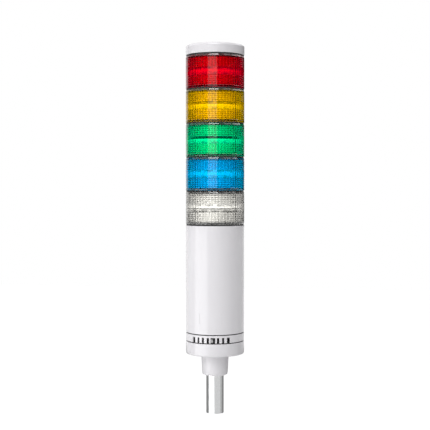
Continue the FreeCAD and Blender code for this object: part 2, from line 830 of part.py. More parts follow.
def make_top_cap():
    """Shallow cap with a slightly crowned roof and a centre boss that its screw draws down."""
    rim_z = CAP_TOP_Z - CAP_CROWN
    shell = round_edge(disc(CAP_R, CAP_Z, rim_z), CAP_R, rim_z, CAP_ROUND)
    crown = Part.makeCone(CAP_R - CAP_ROUND, CAP_FLAT_R, CAP_CROWN, FreeCAD.Vector(0, 0, rim_z))
    shell = shell.fuse(crown).cut(disc(CAP_INNER_R, CAP_Z, ROOF_Z - CAP_CROWN))
    shell = shell.fuse(disc(CAP_BOSS_R, CLAMP_TOP_Z, ROOF_Z))
    shell = shell.cut(disc(CAP_SHANK_R + HOLE_GAP, CLAMP_TOP_Z, CAP_TOP_Z))
    return shell.cut(disc(CAP_HEAD_R + PLUG_GAP, CAP_SEAT_Z, CAP_TOP_Z))


def make_cap_screw():
    return raised(screw(CAP_SHANK_R, CAP_HEAD_R, CAP_HEAD_H, CAP_SEAT_Z - STACK_TOP_Z), CAP_SEAT_Z)


write("pole", make_pole())
write("pole_washer", make_pole_washer())
write("pole_lock_nut", make_pole_lock_nut())
write("neck", make_neck())
write("base_cup", make_base_cup())
write("base_screws", make_base_screws())
write("sound_band", make_sound_band())
write("body_seal", make_body_seal())
write("volume_shutter", make_volume_shutter())
write("volume_lever", make_volume_lever())
write("body_housing", make_body_housing())
write("buzzer_holder", make_buzzer_holder())
write("buzzer", make_buzzer())
write("seat_plate", make_seat_plate())
write("main_board", make_main_board())
write("board_screws", make_board_screws())
write("terminal_block", make_terminal_block())
write("terminal_screws", make_terminal_screws())
write("board_capacitors", make_capacitors())
write("driver_chips", make_driver_chips())
for tier_index, tier_colour in enumerate(TIERS):
    make_tier(tier_index, tier_colour)
for gasket_index in range(len(TIERS) + 1):
    write("gasket_" + str(gasket_index + 1), make_gasket(gasket_index))
write("bus_pins", make_bus_pins())
write("tie_rods", make_tie_rods())
write("tie_rod_nuts", make_tie_rod_nuts())
write("clamp_plate", make_clamp_plate())
write("top_cap", make_top_cap())
write("cap_screw", make_cap_screw())
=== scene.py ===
import math

import bmesh
import bpy
from mathutils import Euler, Matrix, Vector


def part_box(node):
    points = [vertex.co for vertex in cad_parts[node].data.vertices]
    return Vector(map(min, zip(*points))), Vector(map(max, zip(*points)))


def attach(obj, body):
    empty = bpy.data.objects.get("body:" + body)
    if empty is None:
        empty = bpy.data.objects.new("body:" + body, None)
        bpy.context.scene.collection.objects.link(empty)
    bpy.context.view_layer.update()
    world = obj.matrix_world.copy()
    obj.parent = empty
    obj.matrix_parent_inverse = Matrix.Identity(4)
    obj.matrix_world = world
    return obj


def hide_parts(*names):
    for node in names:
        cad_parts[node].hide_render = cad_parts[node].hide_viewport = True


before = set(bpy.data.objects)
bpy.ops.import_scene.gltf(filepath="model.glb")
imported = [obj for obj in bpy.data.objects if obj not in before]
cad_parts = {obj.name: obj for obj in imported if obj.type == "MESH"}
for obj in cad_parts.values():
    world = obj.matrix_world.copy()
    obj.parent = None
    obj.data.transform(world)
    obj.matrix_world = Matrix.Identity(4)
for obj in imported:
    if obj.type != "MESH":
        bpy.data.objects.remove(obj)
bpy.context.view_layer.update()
MM = 0.001


# Camera and studio
# A white sweep with soft lamps to the front left and overhead, a strip to the right, and dark and bright
# cards all round, as a polished tube and clear mouldings are lit. Turns count from the camera to its right.

CAMERA_TURN = 9.0
CAMERA_DISTANCE = 1.030
CAMERA_HEIGHT = 0.2301
CAMERA_DOWN = 1.47
CAMERA_LENS = 84.0
FLOOR_DROP = 0.27
FLOOR_SIZE = 8.0
WHITE = (1.0, 1.0, 1.0, 1.0)
BLACK = (0.0, 0.0, 0.0, 1.0)
FILL = 0.37
FLOOR_PAINT = (0.8, 0.8, 0.8, 1.0)
FLOOR_GLOW = 0.67
FLOOR_ROUGHNESS = 0.9


def around(turn, distance, height):
    """A point at a turn from the camera's side of the tower."""
    angle = math.radians(CAMERA_TURN + turn)
    return Vector((distance * math.sin(angle), -distance * math.cos(angle), height))


def new_object(name, data):
    thing = bpy.data.objects.new(name, data)
    bpy.context.scene.collection.objects.link(thing)
    return thing


def quad(name, width, height):
    """A flat panel that faces +Z, centred on its object."""
    x, y = width / 2, height / 2
    mesh = bpy.data.meshes.new(name)
    mesh.from_pydata([(-x, -y, 0), (x, -y, 0), (x, y, 0), (-x, y, 0)], [], [(0, 1, 2, 3)])
    return new_object(name, mesh)


def aim(thing, place, target, front="-Z"):
    thing.location = place
    thing.rotation_euler = (target - place).to_track_quat(front, "Y").to_euler()


camera = new_object("camera", bpy.data.cameras.new("camera"))
camera.data.lens = CAMERA_LENS
camera.location = around(0, CAMERA_DISTANCE, CAMERA_HEIGHT)
camera.rotation_euler = Euler((math.radians(90 - CAMERA_DOWN), 0, math.radians(CAMERA_TURN)))
bpy.context.scene.camera = camera
bpy.context.scene.view_settings.view_transform = "Standard"


def link(tree, source, target):
    tree.links.new(source, target)


def add(tree, kind, **settings):
    """A node of a kind with its settings, such as an operation."""
    node = tree.nodes.new(kind)
    for name, value in settings.items():
        setattr(node, name, value)
    return node


def seen_directly(tree):
    """1 for rays that show the surroundings: to the camera, in a gloss or through a clear moulding."""
    path = add(tree, "ShaderNodeLightPath")
    total = path.outputs["Is Camera Ray"]
    for kind in ("Is Glossy Ray", "Is Transmission Ray"):
        either = add(tree, "ShaderNodeMath", operation="MAXIMUM")
        link(tree, total, either.inputs[0])
        link(tree, path.outputs[kind], either.inputs[1])
        total = either.outputs[0]
    return total


world = bpy.data.worlds.new("studio")
bpy.context.scene.world = world
world.use_nodes = True
sky = world.node_tree
backdrop = sky.nodes["Background"]
backdrop.inputs["Color"].default_value = WHITE
strength = add(sky, "ShaderNodeMapRange")
strength.inputs["To Min"].default_value = FILL
strength.inputs["To Max"].default_value = 1.0
link(sky, seen_directly(sky), strength.inputs["Value"])
link(sky, strength.outputs["Result"], backdrop.inputs["Strength"])

floor = quad("floor", FLOOR_SIZE, FLOOR_SIZE)
floor.location.z = -FLOOR_DROP
paper = bpy.data.materials.new("studio_paper")
paper.use_nodes = True
tree = paper.node_tree
surface = tree.nodes["Principled BSDF"]
surface.inputs["Base Color"].default_value = FLOOR_PAINT
surface.inputs["Roughness"].default_value = FLOOR_ROUGHNESS
surface.inputs["Emission Color"].default_value = WHITE
glow = add(tree, "ShaderNodeMath", operation="MULTIPLY")
glow.inputs[1].default_value = FLOOR_GLOW
link(tree, seen_directly(tree), glow.inputs[0])
link(tree, glow.outputs[0], surface.inputs["Emission Strength"])
floor.data.materials.append(paper)

LAMP_TARGET = 0.25

# Each lamp: turn, distance and height of its middle, width and height of its panel, and radiance
LAMPS = {
    "front_softbox": (-10.0, 1.35, 0.36, 0.88, 0.44, 1.15),
    "high_softbox": (-30.0, 1.35, 0.90, 1.60, 0.50, 3.3),
    "low_softbox": (-57.0, 1.20, -0.04, 1.22, 0.44, 2.05),
    "right_strip": (99.5, 0.90, 0.62, 0.86, 0.10, 2.0),
    "overhead": (0.0, 0.20, 1.50, 1.20, 1.20, 1.1),
}

for name, (turn, distance, height, width, tall, radiance) in LAMPS.items():
    lamp = bpy.data.lights.new(name, "AREA")
    lamp.shape = "RECTANGLE"
    lamp.size = width
    lamp.size_y = tall
    lamp.energy = radiance * math.pi * width * tall
    holder = new_object(name, lamp)
    holder.visible_camera = False
    aim(holder, around(turn, distance, height), Vector((0, 0, LAMP_TARGET)))


# Cards are seen in glosses alone. The low row stands round the pole, the high row round the lenses, and
# the top row above the lenses for their bevels; the front one hangs behind the softbox. A row has its
# distance and the heights of its edges, and a card the turns of its ends and how bright it looks.
CARD_ROWS = {
    "low": (0.60, -0.27, -0.03),
    "high": (0.60, 0.17, 0.52),
    "front": (1.60, 0.13, 0.80),
    "top": (0.60, 0.53, 1.05),
}
CARDS = {
    "low_left": (-180.0, -87.0, 0.26),
    "low_pale_right": (-8.0, 70.0, 0.67),
    "low_grey_right": (70.0, 99.0, 0.52),
    "low_dark_right": (99.0, 180.0, 0.25),
    "high_left": (-90.0, -28.0, 0.0),
    "high_left_back": (-132.0, -90.0, 0.0),
    "high_right": (8.0, 79.0, 0.0),
    "high_right_back": (79.0, 150.0, 0.0),
    "high_back": (150.0, 180.0, 0.0),
    "front_high": (-36.0, 16.0, 0.0),
    "top_left": (-91.0, -25.0, 1.6),
    "top_front": (-27.0, 15.0, 8.0),
    "top_right": (39.0, 69.0, 2.5),
    "top_side": (78.0, 128.0, 3.0),
}

for name, (first, last, brightness) in CARDS.items():
    distance, bottom, top = CARD_ROWS[name.split("_")[0]]
    height = (bottom + top) / 2
    card = quad(name, 2 * distance * math.tan(math.radians(last - first) / 2), top - bottom)
    cloth = bpy.data.materials.new(name)
    cloth.use_nodes = True
    surface = cloth.node_tree.nodes["Principled BSDF"]
    surface.inputs["Base Color"].default_value = BLACK
    surface.inputs["Specular IOR Level"].default_value = 0.0
    surface.inputs["Emission Color"].default_value = WHITE
    surface.inputs["Emission Strength"].default_value = brightness
    card.data.materials.append(cloth)
    aim(card, around((first + last) / 2, distance, height), Vector((0, 0, height)), "Z")
    for ray in ("camera", "diffuse", "transmission", "volume_scatter", "shadow"):
        setattr(card, "visible_" + ray, False)


# Pole
# The real pole is a drawn and polished aluminium tube. Its upper end is turned down and threaded for
# the lock nut inside the base, and its foot is cut square and deburred.

POLE_BORE_R = 7.0 * MM
STUB_R = 8.5 * MM
STUB_BORE_R = 6.5 * MM
POLE_BURR = 0.25 * MM
POLE_METAL = (0.87, 0.875, 0.88)
POLE_GLOSS = (0.08, 0.22)
DRAWN_DEPTH = 0.004 * MM
ROUND_STEPS = 5
SUPPORT = 0.3 * MM
SEGMENTS = 180
SHARP = math.radians(32)
WELD = 1e-6


def radius_of(node):
    low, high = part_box(node)
    return (high.x - low.x) / 2


def rounded(corners):
    """Outline points from (radius, height, rounding) corners. A rounded corner becomes an arc, with a
    support point close to each end that keeps the shading of the long walls straight."""
    points = []
    for i, (radius, height, rounding) in enumerate(corners):
        corner = Vector((radius, height))
        if rounding == 0:
            points.append(corner)
            continue
        before = (Vector(corners[i - 1][:2]) - corner).normalized()
        after = (Vector(corners[(i + 1) % len(corners)][:2]) - corner).normalized()
        half = before.angle(after) / 2
        middle = corner + (before + after).normalized() * rounding / math.sin(half)
        start = corner + before * rounding / math.tan(half) - middle
        end = corner + after * rounding / math.tan(half) - middle
        sweep = start.angle_signed(end)
        points.append(middle + start + before * SUPPORT)
        for k in range(ROUND_STEPS + 1):
            points.append(middle + Matrix.Rotation(-sweep * k / ROUND_STEPS, 2) @ start)
        points.append(middle + end + after * SUPPORT)
    return points


def add_inputs(tree, **sockets):
    """Named inputs of a Geometry Nodes tree."""
    for name, kind in sockets.items():
        tree.interface.new_socket(name.replace("_", " "), in_out="INPUT", socket_type="NodeSocket" + kind)


def maths(tree, operation, *values):
    """A Math node whose inputs are numbers or other nodes' outputs; gives its output."""
    node = add(tree, "ShaderNodeMath", operation=operation)
    for socket, value in zip(node.inputs, values):
        if isinstance(value, (int, float)):
            socket.default_value = value
        else:
            link(tree, value, socket)
    return node.outputs[0]


def lathe_tree():
    """Turns an outline of (radius, 0, height) points about Z. Points with a "flute" weight are waved."""
    tree = bpy.data.node_groups.new("Turned Moulding", "GeometryNodeTree")
    add_inputs(tree, Outline="Geometry", Segments="Int", Flutes="Int", Flute_Depth="Float",
               Material="Material")
    tree.interface.new_socket("Moulding", in_out="OUTPUT", socket_type="NodeSocketGeometry")
    given = add(tree, "NodeGroupInput").outputs
    size = add(tree, "GeometryNodeAttributeDomainSize", component="MESH")
    link(tree, given["Outline"], size.inputs["Geometry"])
    rows = size.outputs["Point Count"]
    grid = add(tree, "GeometryNodeMeshGrid")
    link(tree, maths(tree, "ADD", given["Segments"], 1.0), grid.inputs["Vertices X"])
    link(tree, rows, grid.inputs["Vertices Y"])
    index = add(tree, "GeometryNodeInputIndex").outputs[0]
    column = maths(tree, "FLOOR", maths(tree, "DIVIDE", maths(tree, "ADD", index, 0.5), rows))
    row = maths(tree, "SUBTRACT", index, maths(tree, "MULTIPLY", column, rows))
    corner = add(tree, "GeometryNodeSampleIndex", data_type="FLOAT_VECTOR", domain="POINT")
    link(tree, given["Outline"], corner.inputs["Geometry"])
    link(tree, add(tree, "GeometryNodeInputPosition").outputs[0], corner.inputs["Value"])
    link(tree, row, corner.inputs["Index"])
    weight = add(tree, "GeometryNodeSampleIndex", data_type="FLOAT", domain="POINT")
    named = add(tree, "GeometryNodeInputNamedAttribute", data_type="FLOAT")
    named.inputs["Name"].default_value = "flute"
    link(tree, given["Outline"], weight.inputs["Geometry"])
    link(tree, named.outputs["Attribute"], weight.inputs["Value"])
    link(tree, row, weight.inputs["Index"])
    parts = add(tree, "ShaderNodeSeparateXYZ")
    link(tree, corner.outputs["Value"], parts.inputs[0])
    angle = maths(tree, "DIVIDE", maths(tree, "MULTIPLY", column, 2 * math.pi), given["Segments"])
    wave = maths(tree, "COSINE", maths(tree, "MULTIPLY", angle, given["Flutes"]))
    share = maths(tree, "SUBTRACT", 0.5, maths(tree, "MULTIPLY", wave, 0.5))
    full_dip = maths(tree, "MULTIPLY", share, given["Flute Depth"])
    dip = maths(tree, "MULTIPLY", full_dip, weight.outputs["Value"])
    reach = maths(tree, "SUBTRACT", parts.outputs["X"], dip)
    spot = add(tree, "ShaderNodeCombineXYZ")
    link(tree, maths(tree, "MULTIPLY", reach, maths(tree, "SINE", angle)), spot.inputs["X"])
    back = maths(tree, "MULTIPLY", maths(tree, "MULTIPLY", reach, maths(tree, "COSINE", angle)), -1.0)
    link(tree, back, spot.inputs["Y"])
    link(tree, parts.outputs["Z"], spot.inputs["Z"])
    moved = add(tree, "GeometryNodeSetPosition")
    link(tree, grid.outputs["Mesh"], moved.inputs["Geometry"])
    link(tree, spot.outputs[0], moved.inputs["Position"])
    weld = add(tree, "GeometryNodeMergeByDistance")
    weld.inputs["Distance"].default_value = WELD
    link(tree, moved.outputs[0], weld.inputs["Geometry"])
    finish_tree(tree, weld.outputs[0], given["Material"])
    return tree


def finish_tree(tree, shape, material):
    """Every tree ends with its instances made real and its material set."""
    real = add(tree, "GeometryNodeRealizeInstances")
    painted = add(tree, "GeometryNodeSetMaterial")
    link(tree, shape, real.inputs[0])
    link(tree, real.outputs[0], painted.inputs["Geometry"])
    link(tree, material, painted.inputs["Material"])
    link(tree, painted.outputs[0], add(tree, "NodeGroupOutput").inputs[0])


def apply_tree(thing, tree, **values):
    """Adds a tree to an object and sets the tree's named inputs."""
    modifier = thing.modifiers.new(tree.name, "NODES")
    modifier.node_group = tree
    for item in tree.interface.items_tree:
        key = item.name.replace(" ", "_")
        if item.in_out == "INPUT" and key in values:
            modifier[item.identifier] = values[key]


def crisp(mesh):
    """Smooth shading, apart from edges where the faces meet at a sharp angle."""
    mesh.shade_smooth()
    mesh.set_sharp_from_angle(angle=SHARP)


def applied(thing):
    """Turns what an object's modifiers make into its own mesh."""
    view = bpy.context.evaluated_depsgraph_get()
    mesh = bpy.data.meshes.new_from_object(thing.evaluated_get(view))
    thing.modifiers.clear()
    thing.data = mesh
    return mesh


def plain_mesh(thing):
    """Applies the modifiers and closes the mesh, with its faces outwards and its edges crisp."""
    mesh = applied(thing)
    shape = bmesh.new()
    shape.from_mesh(mesh)
    bmesh.ops.remove_doubles(shape, verts=shape.verts, dist=WELD)
    bmesh.ops.recalc_face_normals(shape, faces=shape.faces)
    shape.to_mesh(mesh)
    shape.free()
    crisp(mesh)
    return thing


LATHE = lathe_tree()


def turned(name, points, material, segments=SEGMENTS, weights=None, flutes=0, depth=0.0):
    """An outline object that the lathe tree turns into a moulding."""
    mesh = bpy.data.meshes.new(name)
    loop = list(points) + [points[0]]
    edges = [(i, i + 1) for i in range(len(loop) - 1)]
    mesh.from_pydata([(radius, 0, height) for radius, height in loop], edges, [])
    flute = mesh.attributes.new("flute", "FLOAT", "POINT")
    if weights:
        flute.data.foreach_set("value", weights + weights[:1])
    thing = new_object(name, mesh)
    apply_tree(thing, LATHE, Segments=segments, Flutes=flutes, Flute_Depth=depth, Material=material)
    return thing


def place(thing, body, slot, *nodes):
    """Lets a finished piece ride on its body and stand for its CAD nodes."""
    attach(thing, body)
    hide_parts(*nodes)


def new_group(name, inputs, outputs):
    """A shader node group with named inputs and outputs; gives the tree and both sets of sockets."""
    group = bpy.data.node_groups.new(name, "ShaderNodeTree")
    for socket, value in inputs.items():
        given = group.interface.new_socket(socket, in_out="INPUT", socket_type="NodeSocketFloat")
        given.default_value = value
    for socket in outputs:
        group.interface.new_socket(socket, in_out="OUTPUT", socket_type="NodeSocketFloat")
    return group, add(group, "NodeGroupInput").outputs, add(group, "NodeGroupOutput").inputs


def drawn_lines_group():
    """Fine lines along Z, as drawing and polishing leave them on a tube."""
    group, given, result = new_group("Drawn Lines", {"Fineness": 1700.0, "Length": 7.0}, ["Lines"])
    spot = add(group, "ShaderNodeTexCoord").outputs["Object"]
    scale = add(group, "ShaderNodeCombineXYZ")
    link(group, given["Fineness"], scale.inputs["X"])
    link(group, given["Fineness"], scale.inputs["Y"])
    link(group, given["Length"], scale.inputs["Z"])
    stretched = add(group, "ShaderNodeVectorMath", operation="MULTIPLY")
    link(group, spot, stretched.inputs[0])
    link(group, scale.outputs[0], stretched.inputs[1])
    lines = add(group, "ShaderNodeTexNoise")
    lines.inputs["Scale"].default_value = 1.0
    lines.inputs["Detail"].default_value = 3.0
    link(group, stretched.outputs[0], lines.inputs["Vector"])
    link(group, lines.outputs[0], result["Lines"])
    return group


def new_material(name, colour, **sockets):
    """A material with its Principled shader; constants go on the shader's own sockets."""
    material = bpy.data.materials.new(name)
    material.use_nodes = True
    surface = material.node_tree.nodes["Principled BSDF"]
    surface.inputs["Base Color"].default_value = (*colour, 1.0)
    for socket, value in sockets.items():
        surface.inputs[socket.replace("_", " ")].default_value = value
    return material, material.node_tree, surface


def placed_group(tree, group, **values):
    """Puts a node group into a material with its own values; gives its outputs."""
    node = add(tree, "ShaderNodeGroup", node_tree=group)
    for socket, value in values.items():
        node.inputs[socket.replace("_", " ")].default_value = value
    return node.outputs


def between(tree, factor, low, high):
    """A value from low to high as the factor goes from 0 to 1."""
    node = add(tree, "ShaderNodeMapRange")
    node.inputs["To Min"].default_value = low
    node.inputs["To Max"].default_value = high
    link(tree, factor, node.inputs["Value"])
    return node.outputs["Result"]


def bump(tree, height, distance, surface, strength=1.0):
    """Lets a height tilt the surface's normal."""
    node = add(tree, "ShaderNodeBump")
    node.inputs["Strength"].default_value = strength
    node.inputs["Distance"].default_value = distance
    link(tree, height, node.inputs["Height"])
    link(tree, node.outputs["Normal"], surface.inputs["Normal"])


def mixed_colour(tree, factor, first, second):
    """A colour from the first to the second as the factor goes from 0 to 1."""
    node = add(tree, "ShaderNodeMix", data_type="RGBA")
    colours = [socket for socket in node.inputs if socket.type == "RGBA"]
    colours[0].default_value = (*first, 1.0)
    colours[1].default_value = (*second, 1.0)
    link(tree, factor, node.inputs[0])
    return [socket for socket in node.outputs if socket.type == "RGBA"][0]


DRAWN_LINES = drawn_lines_group()


def drawn_aluminium():
    material, tree, surface = new_material("drawn_aluminium", POLE_METAL, Metallic=1.0)
    lines = placed_group(tree, DRAWN_LINES)["Lines"]
    link(tree, between(tree, lines, *POLE_GLOSS), surface.inputs["Roughness"])
    bump(tree, lines, DRAWN_DEPTH, surface, strength=0.5)
    return material


pole_low, pole_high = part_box("pole")
neck_low, neck_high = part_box("neck")
pole_r = radius_of("pole")
pole_step = neck_low.z - (pole_r - STUB_R)
pole = turned("drawn_pole", rounded([
    (POLE_BORE_R, pole_low.z, POLE_BURR),
    (pole_r, pole_low.z, POLE_BURR),
    (pole_r, neck_low.z, 0),
    (STUB_R, neck_low.z, 0),
    (STUB_R, pole_high.z, POLE_BURR),
    (STUB_BORE_R, pole_high.z, POLE_BURR),
    (STUB_BORE_R, pole_step, 0),
    (POLE_BORE_R, pole_step, 0),
]), drawn_aluminium())
place(plain_mesh(pole), "tower", "pole_metal", "pole")


# Neck
# The real neck is a tapered ABS moulding with a rounded lower end. The pole runs up through it, and a
# boss with three keys on its top locks it into the floor of the base.

NECK_ROUND = 2.4 * MM
NECK_TAPER = 1.2 * MM
NECK_BOSS_R = 10.6 * MM
KEYS = 3
KEY_REACH = 12.4 * MM
KEY_WIDTH = 4.0 * MM
KEY_SINK = 1.0 * MM
PEG_SIDES = 48
THREAD_GAP = 0.05 * MM
SHELL_WHITE = (0.83, 0.815, 0.84)
SHELL_SHADE = (0.80, 0.785, 0.815)
SHELL_GLOSS = (0.08, 0.14)
SHELL_GRAIN = 0.002 * MM
GRAIN_HEIGHT = 0.006 * MM
CLOUD_HEIGHT = 2.0


def moulded_skin_group():
    """The skin of a moulding: fine grain from the tool and higher, slow clouds where it cooled."""
    group, given, result = new_group("Moulded Skin", {"Grain": 2600.0, "Clouds": 26.0},
                                     ["Grain", "Clouds", "Height"])
    spot = add(group, "ShaderNodeTexCoord").outputs["Object"]
    noises = {}
    for name, detail in (("Grain", 2.0), ("Clouds", 3.0)):
        noises[name] = add(group, "ShaderNodeTexNoise")
        noises[name].inputs["Detail"].default_value = detail
        link(group, given[name], noises[name].inputs["Scale"])
        link(group, spot, noises[name].inputs["Vector"])
        link(group, noises[name].outputs[0], result[name])
    flow = maths(group, "MULTIPLY", noises["Clouds"].outputs[0], CLOUD_HEIGHT)
    link(group, maths(group, "ADD", noises["Grain"].outputs[0], flow), result["Height"])
    return group


MOULDED_SKIN = moulded_skin_group()


def moulded_plastic(name, colour, shade, gloss, grain_height=GRAIN_HEIGHT, **sockets):
    """Satin moulded plastic. Gloss gives the lowest and highest roughness."""
    material, tree, surface = new_material(name, colour, **sockets)
    skin = placed_group(tree, MOULDED_SKIN)
    link(tree, mixed_colour(tree, skin["Clouds"], colour, shade), surface.inputs["Base Color"])
    link(tree, between(tree, skin["Grain"], *gloss), surface.inputs["Roughness"])
    bump(tree, skin["Height"], grain_height, surface)
    return material


white_abs = moulded_plastic("white_abs", SHELL_WHITE, SHELL_SHADE, SHELL_GLOSS, SHELL_GRAIN)


def pattern_tree(operation):
    """Repeats a shape round Z and joins it to a piece, or cuts it out. A union takes both meshes at its
    second socket."""
    tree = bpy.data.node_groups.new("Ring Pattern " + operation.title(), "GeometryNodeTree")
    add_inputs(tree, Piece="Geometry", Shape="Object", Count="Int", First_Angle="Float", Step_Angle="Float",
               Material="Material")
    tree.interface.new_socket("Piece", in_out="OUTPUT", socket_type="NodeSocketGeometry")
    given = add(tree, "NodeGroupInput").outputs
    points = add(tree, "GeometryNodePoints")
    link(tree, given["Count"], points.inputs["Count"])
    shape = add(tree, "GeometryNodeObjectInfo")
    link(tree, given["Shape"], shape.inputs["Object"])
    turn = add(tree, "ShaderNodeCombineXYZ")
    index = add(tree, "GeometryNodeInputIndex").outputs[0]
    steps = maths(tree, "MULTIPLY", index, given["Step Angle"])
    link(tree, maths(tree, "ADD", given["First Angle"], steps), turn.inputs["Z"])
    copies = add(tree, "GeometryNodeInstanceOnPoints")
    link(tree, points.outputs[0], copies.inputs["Points"])
    link(tree, shape.outputs["Geometry"], copies.inputs["Instance"])
    link(tree, turn.outputs[0], copies.inputs["Rotation"])
    real = add(tree, "GeometryNodeRealizeInstances")
    link(tree, copies.outputs[0], real.inputs[0])
    both = add(tree, "GeometryNodeMeshBoolean", operation=operation, solver="EXACT")
    socket = "Mesh 1" if operation == "DIFFERENCE" else "Mesh 2"
    link(tree, given["Piece"], both.inputs[socket])
    link(tree, real.outputs[0], both.inputs["Mesh 2"])
    finish_tree(tree, both.outputs[0], given["Material"])
    return tree


JOINED = pattern_tree("UNION")
CUT = pattern_tree("DIFFERENCE")
helpers = []


def block(width, near, far, low, high):
    """A box at the front, from near to far along Y, for patterns."""
    mesh = bpy.data.meshes.new("block")
    shape = bmesh.new()
    bmesh.ops.create_cube(shape, size=1.0)
    bmesh.ops.scale(shape, vec=(width, far - near, high - low), verts=shape.verts)
    bmesh.ops.translate(shape, vec=(0, (near + far) / 2, (low + high) / 2), verts=shape.verts)
    shape.to_mesh(mesh)
    shape.free()
    helpers.append(new_object("block", mesh))
    return helpers[-1]


def peg(radius, reach, low, high):
    """A round bar that stands at the front of a circle about Z, for patterns."""
    mesh = bpy.data.meshes.new("peg")
    shape = bmesh.new()
    bmesh.ops.create_cone(shape, cap_ends=True, segments=PEG_SIDES, radius1=radius, radius2=radius,
                          depth=high - low)
    bmesh.ops.translate(shape, vec=(0, -reach, (low + high) / 2), verts=shape.verts)
    shape.to_mesh(mesh)
    shape.free()
    helpers.append(new_object("peg", mesh))
    return helpers[-1]


def pattern(piece, tree, shape, count, first=0.0, step=None):
    """Adds one ring pattern to a white moulding; angles in degrees."""
    step = 360.0 / count if step is None else step
    apply_tree(piece, tree, Shape=shape, Count=count, First_Angle=math.radians(first),
               Step_Angle=math.radians(step), Material=white_abs)


cup_low, cup_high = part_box("base_cup")
neck_r = radius_of("neck")
neck = turned("tapered_neck", rounded([
    (STUB_R + THREAD_GAP, neck_low.z, 0),
    (neck_r - NECK_TAPER, neck_low.z, NECK_ROUND),
    (neck_r, cup_low.z, 0),
    (NECK_BOSS_R, cup_low.z, 0),
    (NECK_BOSS_R, neck_high.z, 0),
    (STUB_R + THREAD_GAP, neck_high.z, 0),
]), white_abs)
key = block(KEY_WIDTH, -KEY_REACH, -NECK_BOSS_R + KEY_SINK, cup_low.z, neck_high.z)
pattern(neck, JOINED, key, KEYS)
place(plain_mesh(neck), "tower", "white_shell", "neck")


# Base cup
# The real base is an ABS cup that closes the tower from below. Its floor takes the keyed neck, and
# three screws, sunk into its posts, pull it up to the sound band and the housing.

CUP_ROUND = 2.0 * MM
CUP_WALL = 2.4 * MM
CUP_FLOOR = 2.6 * MM
EDGE_ROUND = 0.2 * MM
LEDGE_R = 26.3 * MM
LEDGE_H = 3.0 * MM
POSTS = 3
POST_R = 3.4 * MM
POST_CIRCLE_R = 22.1 * MM
POST_ANGLE = 60.0
SCREW_HOLE_R = 1.4 * MM
SCREW_SINK_R = 2.45 * MM
SCREW_SEAT = 2.0 * MM
PLUG_GAP = 0.2 * MM
OVERCUT = 1.0 * MM

cup_r = radius_of("base_cup")
cup_floor = cup_low.z + CUP_FLOOR
keyway_r = NECK_BOSS_R + PLUG_GAP
base_cup = turned("base_cup_finish", rounded([
    (keyway_r, cup_low.z, 0),
    (cup_r, cup_low.z, CUP_ROUND),
    (cup_r, cup_high.z, EDGE_ROUND),
    (LEDGE_R, cup_high.z, 0),
    (LEDGE_R, cup_high.z - LEDGE_H, 0),
    (cup_r - CUP_WALL, cup_high.z - LEDGE_H, 0),
    (cup_r - CUP_WALL, cup_floor, 0),
    (keyway_r, cup_floor, 0),
]), white_abs)
post = peg(POST_R, POST_CIRCLE_R, cup_low.z + CUP_FLOOR / 2, cup_high.z)
pattern(base_cup, JOINED, post, POSTS, POST_ANGLE)
hole = peg(SCREW_HOLE_R, POST_CIRCLE_R, cup_low.z - OVERCUT, cup_high.z + OVERCUT)
pattern(base_cup, CUT, hole, POSTS, POST_ANGLE)
sink = peg(SCREW_SINK_R, POST_CIRCLE_R, cup_low.z - OVERCUT, cup_low.z + SCREW_SEAT)
pattern(base_cup, CUT, sink, POSTS, POST_ANGLE)
keyway = block(KEY_WIDTH + 2 * PLUG_GAP, -KEY_REACH - PLUG_GAP, -keyway_r + KEY_SINK,
               cup_low.z - OVERCUT, cup_floor + OVERCUT)
pattern(base_cup, CUT, keyway, KEYS)
place(plain_mesh(base_cup), "tower", "white_shell", "base_cup")


# Sound band
# The real band is an ABS ring with a comb of slots in front that lets the buzzer out. Its deck carries
# the posts, and its collar plugs into the housing.

BAND_WALL = 1.2 * MM
DECK_T = 2.0 * MM
DECK_R = 18.7 * MM
COLLAR_R = 27.2 * MM
COLLAR_WALL = 1.4 * MM
SLOTS = 8
SLOT_ANGLE = 10.0
SLOT_W = 2.3 * MM
END_SLOT_W = 3.5 * MM
WIDE_SLOT = 4
WIDE_SLOT_W = 4.6 * MM

seal_low, seal_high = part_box("body_seal")
band_r = radius_of("sound_band")
band_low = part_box("base_cup")[1].z + (seal_high.z - seal_low.z)
band_top = seal_low.z
collar_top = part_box("sound_band")[1].z
sound_band = turned("sound_band_finish", rounded([
    (band_r - BAND_WALL, band_low, 0),
    (band_r, band_low, EDGE_ROUND),
    (band_r, band_top, EDGE_ROUND),
    (COLLAR_R, band_top, 0),
    (COLLAR_R, collar_top, 0),
    (COLLAR_R - COLLAR_WALL, collar_top, 0),
    (COLLAR_R - COLLAR_WALL, band_top, 0),
    (DECK_R, band_top, 0),
    (DECK_R, band_top - DECK_T, 0),
    (band_r - BAND_WALL, band_top - DECK_T, 0),
]), white_abs)
post = peg(POST_R, POST_CIRCLE_R, cup_high.z, band_top - DECK_T / 2)
pattern(sound_band, JOINED, post, POSTS, POST_ANGLE)
hole = peg(SCREW_HOLE_R, POST_CIRCLE_R, cup_high.z - OVERCUT, band_top + OVERCUT)
pattern(sound_band, CUT, hole, POSTS, POST_ANGLE)
for index in range(SLOTS):
    middle = (index - (SLOTS - 1) / 2) * SLOT_ANGLE
    width = WIDE_SLOT_W if index == WIDE_SLOT else SLOT_W
    if index in (0, SLOTS - 1):
        width = END_SLOT_W
        middle += math.copysign(math.degrees((END_SLOT_W - SLOT_W) / 2 / band_r), middle)
    slot = block(width, -band_r - OVERCUT, -band_r + BAND_WALL + OVERCUT,
                 band_low - OVERCUT, band_top - DECK_T)
    pattern(sound_band, CUT, slot, 1, middle)
place(plain_mesh(sound_band), "tower", "white_shell", "sound_band")


# Volume shutter and lever
# The real shutter is a black ring that turns behind the slots and covers more or less of them. A grey
# lever, pressed into it, comes out through the wide slot.

